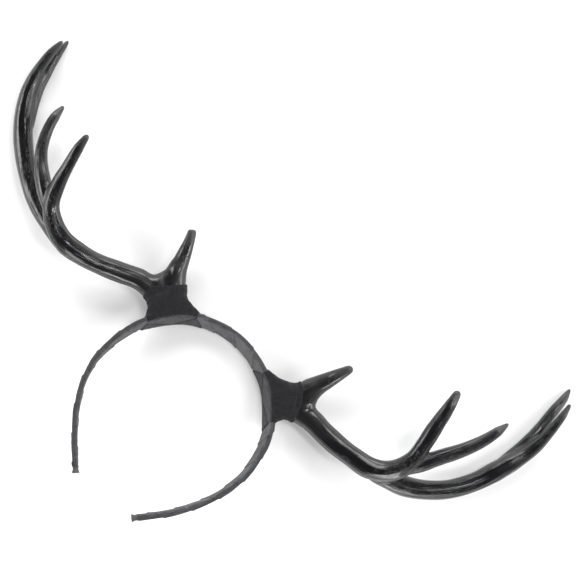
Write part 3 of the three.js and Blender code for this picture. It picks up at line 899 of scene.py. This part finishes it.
class HEADBAND_OT_tails(bpy.types.Operator):
    """Make the crimped ends of the tape"""

    bl_idname = "headband.make_tails"
    bl_label = "Make Tails"

    def execute(self, context):
        hoop, tape, antler = settings("hoop"), settings("tape"), settings("antler")
        material = bpy.data.materials["dark_grey_tape"]
        for name, side in SIDES.items():
            strip = strip_at([0.5 + side / 2])
            places = np.linspace(0, 1, TAIL_RINGS)
            columns = np.array(TAIL_ROWS)
            width = np.interp(places, columns[:, 0], columns[:, 1]) * hoop.strip_width
            thick = np.interp(places, columns[:, 0], columns[:, 2]) * hoop.strip_thickness
            rings, weave = [], []
            marks = np.arange(TAIL_SIDES) / TAIL_SIDES
            for place, wide, deep in zip(places, width, thick):
                outline = section(wide, deep, deep * 0.45, TAIL_SIDES)
                crimp = 1 + 0.05 * np.sin(marks * math.tau * 12 + place * 3) * place
                outline = outline * crimp[:, None]
                reach = antler.clearance + place * tape.tail_length
                middle = strip.point[0] + side * strip.along[0] * reach
                rings.append(middle + outline[:, :1] * strip.across[0]
                             + outline[:, 1:] * strip.away[0])
                weave.append(np.column_stack([marks * 0.02, np.full(TAIL_SIDES, reach), marks * 0]))
            rings = on_table(np.array(rings))
            tail = tube(f"{name}_crimped_tail", rings)
            tree = nearest_finder(rings.reshape(-1, 3))
            found = [tree.find(place)[1] for place in coordinates(tail)]
            add_attribute(tail, "weave", "FLOAT_VECTOR", np.array(weave).reshape(-1, 3)[found])
            # Painted light: the tails take mostly the lighter copy of the tape's colours, and are
            # lightened evenly.
            add_attribute(tail, "wear_and_painted_shade", "FLOAT", np.full(len(found), 0.4))
            add_attribute(tail, "inner", "FLOAT", np.full(len(found), 0.6))
            finish_piece(tail, material, "tape", f"{name}_tail")
        return {"FINISHED"}


Branch = namedtuple("Branch", "line along wide deep radius passed")


def branch_path(rows, side):
    """A branch's middle line on the table, with its directions, radii and length passed."""
    antler, hoop = settings("antler"), settings("hoop")
    scale = np.array([side * antler.reach, antler.reach, antler.depth])
    points = np.array([(row.out, row.up, row.fore) for row in rows]) * scale
    points[-1] += antler.tip_reach * unit(points[-1] - points[-2])
    places = np.linspace(0, len(rows) - 1, (len(rows) - 1) * BRANCH_STEPS + 1)
    line = smooth_curve(points, places)
    along = unit(np.gradient(line, axis=0))
    wide = unit(np.cross(UP, along))
    deep = np.cross(along, wide)
    radius = antler.beam_radius * np.interp(places, range(len(rows)), [row.thick for row in rows])
    passed = np.concatenate([[0], np.cumsum(np.linalg.norm(np.diff(line, axis=0), axis=1))])
    _, seat = seat_of(side)
    turn = antler.lean - hoop.tilt
    line = on_table(seat + turned_about_x(line, antler.lean))
    along, wide, deep = (turned_about_x(axis, turn) for axis in (along, wide, deep))
    return Branch(line, along, wide, deep, radius, passed)


def bridge(first, second, passed):
    """A short branch from a place on one branch to the same place on another."""
    ends = []
    for branch in (first, second):
        near = np.argmin(np.abs(branch.passed - passed))
        ends.append((branch.line[near], branch.radius[near]))
    shares = np.linspace(0, 1, WEB_RINGS)[:, None]
    line = ends[0][0] + shares * (ends[1][0] - ends[0][0])
    along = np.repeat(unit(line[-1:] - line[:1]), len(shares), axis=0)
    wide = unit(np.cross(UP, along))
    radius = 0.98 * (ends[0][1] + shares[:, 0] * (ends[1][1] - ends[0][1]))
    return Branch(line, along, wide, np.cross(along, wide), radius,
                  shares[:, 0] * np.linalg.norm(line[-1] - line[0]))


def flatten_tip(piece, branch, slant):
    """Cuts a tip off flat, a little slanted."""
    places = coordinates(piece)
    end = branch.line[-1] - 0.0009 * branch.along[-1]
    direction = unit(branch.along[-1] + slant * branch.wide[-1])
    past = (places - end) @ direction
    near = np.linalg.norm(places - end, axis=1) < 2.2 * branch.radius[-1]
    move_vertices(piece, places - np.where(near & (past > 0), past, 0)[:, None] * direction)


def branch_tube(name, branch, blunt):
    """A branch's skin, with its tip rounded off over the last of its length."""
    flatness = settings("antler").flatness
    left = branch.passed[-1] - branch.passed
    rounding = branch.radius[-1] * blunt
    dome = np.sqrt(np.clip(1 - (1 - np.clip(left / max(rounding, 1e-6), 0, 1)) ** 2, 0.02, 1))
    turn = np.arange(BRANCH_SIDES) / BRANCH_SIDES * math.tau
    radius = (branch.radius * dome)[:, None, None]
    wide = branch.wide[:, None] * np.cos(turn)[:, None] * radius
    deep = branch.deep[:, None] * np.sin(turn)[:, None] * radius * flatness
    return tube(name, branch.line[:, None] + wide + deep)


def cut_at_hoop(piece, side):
    """Cuts an antler's foot off level with the outside of the tape."""
    hoop, tape, antler = settings("hoop"), settings("tape"), settings("antler")
    strip, seat = seat_of(side)
    lift = hoop.strip_thickness / 2 + tape.lap_height + antler.clearance
    place = on_table(seat + strip.away[0] * lift)
    cut(piece, place, turned_about_x(strip.away[0], -hoop.tilt), clear_inner=True)


def grain_of(places, branches):
    """Each point's place on its branch, nearness to a tip and to a joining, and height of ridge."""
    antler = settings("antler")
    nearest = np.full(len(places), np.inf)
    second = np.full(len(places), np.inf)
    grain = np.zeros((len(places), 3))
    tips = np.zeros(len(places))
    weights = np.zeros(len(places))
    relief = np.zeros(len(places))
    branches = list(branches)
    root = branches[0].line[0]
    for seed, branch in enumerate(branches):
        tree = nearest_finder(branch.line)
        found = np.array([tree.find(place)[1] for place in places])
        offset = places - branch.line[found]
        sideways = np.sum(offset * branch.wide[found], axis=1)
        upwards = np.sum(offset * branch.deep[found], axis=1)
        turn = np.arctan2(upwards, sideways)
        passed = branch.passed[found] + np.sum(offset * branch.along[found], axis=1)
        closeness = np.linalg.norm(offset, axis=1) / branch.radius[found]
        round_branch = np.column_stack([np.cos(turn), np.sin(turn), passed])
        ridges = -np.abs(noise(round_branch * RIDGES, seed + 1))
        ridges -= 0.5 * np.abs(noise(round_branch * FINE_RIDGES, seed + 21))
        lumps = noise(round_branch * LUMPS, seed + 41)
        size = branch.radius[found] / antler.beam_radius
        size = size * (0.2 + 0.8 * step(np.linalg.norm(places - root, axis=1), *RIDGE_START))
        share_here = np.exp(-np.maximum(closeness - 1, 0) / 0.12)
        relief += share_here * size * (antler.ridge_height * (ridges + 0.4)
                                       + antler.lump_height * lumps)
        weights += share_here
        better = closeness < nearest
        second = np.minimum(second, np.maximum(nearest, closeness))
        nearest = np.where(better, closeness, nearest)
        spot = round_branch * [0.006, 0.006, 1.0] + [0, 0, 0.4 * seed]
        grain[better] = spot[better]
        left = branch.passed[-1] - passed
        tips[better] = np.clip(1 - left / RUBBED_LENGTH, 0, 1)[better]
    joining = 1 - step(second - nearest, 0.05, 0.5)
    return grain, tips, joining, relief / np.maximum(weights, 1e-6)


class HEADBAND_OT_antlers(bpy.types.Operator):
    """Make both antlers from their branches"""

    bl_idname = "headband.make_antlers"
    bl_label = "Make Antlers"

    def execute(self, context):
        antler = settings("antler")
        material = antler_material()
        for name, side in SIDES.items():
            branches = {key: branch_path(rows, side) for key, rows in BRANCHES[name].items()}
            tubes = []
            for key, branch in branches.items():
                if key == "crotch":
                    continue  # it only marks the fork
                blunt = TIP_BLUNT if (name, key) == ("left", "brow_tine") else ROUND_TIP
                tubes.append(branch_tube(f"{name}_{key}", branch, blunt))
            for passed in np.linspace(0.2, 1, WEB_TUBES) * getattr(antler, f"{name}_web"):
                web = bridge(branches["beam"], branches["brow_tine"], passed)
                tubes.append(branch_tube(f"{name}_web", web, WEB_BLUNT))
            piece = join(tubes)
            piece.name = piece.data.name = f"{name}_antler_plastic"
            fork = branches["crotch"].line[len(branches["crotch"].line) // 3]
            fill_creases(piece, antler.voxel, lambda places: antler.crease + (
                antler.web * near_point(places, fork, WEB_FADE)))
            soften(piece, near_point(coordinates(piece), fork, SOFT_FADE), SOFT_ROUNDS)
            places = coordinates(piece)
            _, _, _, relief = grain_of(places, branches.values())
            move_vertices(piece, places + outwards(piece) * relief[:, None])
            if name == "left":
                flatten_tip(piece, branches["brow_tine"], 0.2)
            cut_at_hoop(piece, side)
            grain, tips, joining, _ = grain_of(coordinates(piece), branches.values())
            add_attribute(piece, "grain", "FLOAT_VECTOR", grain)
            foot_end = step(beyond_lip(coordinates(piece), name), *FOOT_FADE)
            calm = np.maximum(joining, FOOT_CALM - FOOT_CALM * foot_end)
            add_attribute(piece, "calm", "FLOAT", calm)
            add_attribute(piece, "tip", "FLOAT", tips)
            finish_piece(piece, material, "antler", f"{name}_antler")
        return {"FINISHED"}


def lip_planes(name):
    """Places and outward directions of the planes at which a binding ends on its antler."""
    antler, hoop, side = settings("antler"), settings("hoop"), SIDES[name]
    _, seat = seat_of(side)
    planes = []
    for start, end in zip(LIPS[name], LIPS[name][1:]):
        place = np.array([start[0] * side, start[1], 0.0]) * antler.reach
        direction = unit(np.array([(end[1] - start[1]) * side, start[0] - end[0], 0.0]))
        planes.append((on_table(seat + turned_about_x(place, antler.lean)),
                       turned_about_x(direction, antler.lean - hoop.tilt)))
    return planes


def foot_sleeve(name):
    """The cloth round an antler's foot: a swollen copy of the foot, cut at the lip."""
    binding = settings("binding")
    sleeve = copy_of(bpy.data.objects[f"{name}_antler_plastic"], f"{name}_sleeve")
    apply_modifier(sleeve, "SMOOTH", factor=0.5, iterations=10)
    move_vertices(sleeve, coordinates(sleeve) + binding.sleeve * outwards(sleeve))
    for place, direction in lip_planes(name):
        cut(sleeve, place, direction, clear_outer=True)
    close_up()
    return sleeve


def beyond_lip(places, name):
    """How far points lie past their binding's lip."""
    return np.max([(places - place) @ way for place, way in lip_planes(name)], axis=0)


def draw_in_at_lip(piece, name):
    """Draws a binding in to lie on its antler at the lip."""
    binding = settings("binding")
    antler = coordinates(bpy.data.objects[f"{name}_antler_plastic"])
    places = coordinates(piece)
    beyond = beyond_lip(places, name)
    near = np.flatnonzero(beyond > -binding.draw_in)
    tree = nearest_finder(antler)
    found = antler[[tree.find(place)[1] for place in places[near]]]
    offset = places[near] - found
    gap = np.maximum(np.linalg.norm(offset, axis=1), 1e-6)
    excess = np.clip(gap - binding.sleeve, 0, None) * step(beyond[near], -binding.draw_in, -0.001)
    excess = np.where(np.sum(offset * outwards(piece)[near], axis=1) > 0, excess, 0)
    places[near] -= offset * (excess / gap)[:, None]
    move_vertices(piece, places)
    apply_modifier(piece, "REMESH", mode="VOXEL", voxel_size=binding.voxel)
    apply_modifier(piece, "SMOOTH", factor=0.5, iterations=3)


def hoop_saddle(name):
    """The cloth round the hoop under an antler."""
    binding, hoop, antler = settings("binding"), settings("hoop"), settings("antler")
    middle = 0.5 + SIDES[name] * antler.seat_share / 2
    reach = binding.saddle_length / 2 / hoop_length()
    shares = np.linspace(middle - reach, middle + reach, SADDLE_RINGS)
    strip = strip_at(shares)
    rings = []
    for ring in range(SADDLE_RINGS):
        outline = section(strip.width[ring] + 2 * binding.saddle,
                          hoop.strip_thickness + 2 * binding.saddle, 0.0018, SADDLE_SIDES)
        slant = 0.45 * outline[:, :1] * (2 * ring / (SADDLE_RINGS - 1) - 1)
        rings.append(strip.point[ring] + outline[:, :1] * strip.across[ring]
                     + outline[:, 1:] * strip.away[ring] - slant * strip.along[ring])
    return tube(f"{name}_saddle", on_table(np.array(rings)))


class HEADBAND_OT_bindings(bpy.types.Operator):
    """Make the cloth that binds the antlers to the hoop"""

    bl_idname = "headband.make_bindings"
    bl_label = "Make Bindings"

    def execute(self, context):
        binding, hoop = settings("binding"), settings("hoop")
        material = cloth_material("black_binding_cloth", binding, 0.0006, 0.6)
        for name, side in SIDES.items():
            piece = copy_of(frame["nodes"][f"{name}_wrap"], f"{name}_binding_cloth")
            bpy.ops.object.mode_set(mode="EDIT")
            bpy.ops.mesh.select_all(action="SELECT")
            bpy.ops.mesh.remove_doubles(threshold=1e-5)
            bpy.ops.object.mode_set(mode="OBJECT")
            piece = join([piece, foot_sleeve(name), hoop_saddle(name)])
            fill_creases(piece, binding.voxel, lambda places: np.full(len(places), CLOTH_CREASE))
            draw_in_at_lip(piece, name)
            strip, seat = seat_of(side)
            axis = turned_about_x(strip.away[0], -hoop.tilt)
            across = turned_about_x(strip.across[0], -hoop.tilt)
            along = turned_about_x(strip.along[0], -hoop.tilt) * side
            places, facing = coordinates(piece), outwards(piece)
            offset = places - on_table(seat)
            height = offset @ axis
            flat = offset - height[:, None] * axis
            turn = np.arctan2(flat @ across, flat @ np.cross(axis, across))
            spot = np.column_stack([np.cos(turn), np.sin(turn), height * 150])
            wavy = 0.0006 * noise(spot * 2, 7)
            lap = np.mod((height + wavy) / binding.turn_pitch + turn / math.tau, 1.0)
            rise = lap_rise(lap, TURN_CLIMB, TURN_DROP)
            open_side = np.clip(np.sum(facing * unit(flat), axis=1) * 3 - 0.9, 0, 1)
            beyond = beyond_lip(places, name)
            last_turn, fringe = step(beyond, *LAST_TURN), step(beyond, *FRINGE)
            rough = noise(places * 350, 11) * ROUGH_HEIGHT
            frayed = noise(places * [500, 500, 250], 13) * FRAY_HEIGHT * fringe
            # Inside the hoop two edges of cloth meet at its front, over the middle of the binding.
            aside, down = offset @ along, 0.5 - offset @ across / hoop.strip_width
            tent = down + np.where(aside > 0, aside / FLAP_SLOPES[0], -aside / FLAP_SLOPES[1])
            inside = step(-(facing @ axis), 0.25, 1.0) * step(-height, 0.0, 0.001)
            under = step(tent, 0.98, 1.02)
            lift = (binding.turn_height * (rise - 0.3) + rough) * open_side
            lift += LAST_TURN_HEIGHT * last_turn * open_side
            lift += FLAP_HEIGHT * (under - 0.5) * inside
            move_vertices(piece, places + facing * (lift + frayed)[:, None])
            weave = np.column_stack([turn * 0.011, height, np.zeros(len(turn))])
            weave = np.where(inside[:, None] > 0.5, offset, weave)
            add_attribute(piece, "weave", "FLOAT_VECTOR", weave)
            # A painted shadow line where the two edges of cloth meet inside the hoop; the turns are
            # lighter towards their edges on the open side.
            painted_shadow_line = np.exp(-((tent - 1.0) / 0.03) ** 2) * inside
            wear_and_painted_shade = step(lap, 0.8, 0.92) * open_side * 0.35 - 2.0 * painted_shadow_line
            add_attribute(piece, "wear_and_painted_shade", "FLOAT", wear_and_painted_shade)
            # Painted light: inside the hoop the cloth takes the lighter copy of its colours, less of
            # it where the flap is raised.
            add_attribute(piece, "inner", "FLOAT", inside * (0.9 - 0.35 * under))
            finish_piece(piece, material, "binding", f"{name}_wrap")
        return {"FINISHED"}


def light_up_walls(tree):
    """Makes the studio's walls pale and its ceiling dark."""
    background = tree.nodes["Background"]
    background.inputs["Color"].default_value = (1, 1, 1, 1)
    toward = tree.nodes.new("ShaderNodeTexCoord")
    parts = tree.nodes.new("ShaderNodeSeparateXYZ")
    fade = tree.nodes.new("ShaderNodeMapRange")
    fade.interpolation_type = "SMOOTHSTEP"
    for socket, value in WALL_FADE.items():
        fade.inputs[socket].default_value = value
    tree.links.new(toward.outputs["Generated"], parts.inputs["Vector"])
    tree.links.new(parts.outputs["Z"], fade.inputs["Value"])
    tree.links.new(fade.outputs["Result"], background.inputs["Strength"])


class HEADBAND_OT_stage(bpy.types.Operator):
    """Make the floor, the lights and the camera"""

    bl_idname = "headband.make_stage"
    bl_label = "Make Stage"

    def execute(self, context):
        stage = settings("stage")
        bpy.ops.object.select_all(action="DESELECT")
        bpy.ops.mesh.primitive_plane_add(size=8)
        floor = context.object
        floor.name = "floor"
        shade = Shade("pale_floor", Base_Color=opaque(stage.floor), Roughness=0.9)
        floor.data.materials.append(shade.material)
        place = (*stage.camera_place, stage.camera_height)
        turn = Matrix.Rotation(stage.camera_turn, 4, "Z")
        bpy.ops.object.camera_add(location=place, rotation=(0, 0, stage.camera_turn))
        camera = context.object
        camera.data.sensor_width = 36
        camera.data.lens = 36 * stage.focal_share
        camera.data.clip_start = 0.01
        context.scene.camera = camera
        for row in LIGHTS:
            toward = turn @ Vector(row.place)
            where = Vector((*stage.camera_place, 0)) + toward
            aim = (-toward).to_track_quat("-Z", "Y").to_euler()
            bpy.ops.object.light_add(type="AREA", location=where, rotation=aim)
            light = context.object
            light.name = row.name
            light.data.shape = "RECTANGLE"
            light.data.size, light.data.size_y = row.width, row.depth
            light.data.energy = row.power
        world = context.scene.world or bpy.data.worlds.new("studio")
        context.scene.world = world
        world.use_nodes = True
        light_up_walls(world.node_tree)
        context.scene.view_settings.view_transform = "Standard"
        return {"FINISHED"}


class HEADBAND_PT_panel(bpy.types.Panel):
    """Lists the sizes and colours, and what makes each piece"""

    bl_idname = "HEADBAND_PT_panel"
    bl_label = "Antler Headband"
    bl_space_type = "VIEW_3D"
    bl_region_type = "UI"
    bl_category = "Headband"

    def draw(self, context):
        for name, group in SETTINGS.items():
            column = self.layout.box().column(align=True)
            column.label(text=name.title())
            for field in group.__annotations__:
                column.prop(settings(name), field)
        for operator in OPERATORS:
            self.layout.operator(operator.bl_idname)


SETTINGS = {
    "hoop": HoopSettings,
    "tape": TapeSettings,
    "antler": AntlerSettings,
    "binding": BindingSettings,
    "stage": StageSettings,
}
OPERATORS = [
    HEADBAND_OT_band,
    HEADBAND_OT_tails,
    HEADBAND_OT_antlers,
    HEADBAND_OT_bindings,
    HEADBAND_OT_stage,
]


def register():
    for group in (*SETTINGS.values(), *OPERATORS, HEADBAND_PT_panel):
        bpy.utils.register_class(group)
    for name, group in SETTINGS.items():
        setattr(bpy.types.Scene, f"headband_{name}", PointerProperty(type=group))


def unregister():
    for name in SETTINGS:
        delattr(bpy.types.Scene, f"headband_{name}")
    for group in reversed((*SETTINGS.values(), *OPERATORS, HEADBAND_PT_panel)):
        bpy.utils.unregister_class(group)


def main():
    register()
    bpy.ops.headband.make_band()
    bpy.ops.headband.make_tails()
    bpy.ops.headband.make_antlers()
    bpy.ops.headband.make_bindings()
    bpy.ops.headband.make_stage()


if __name__ == "__main__":
    main()
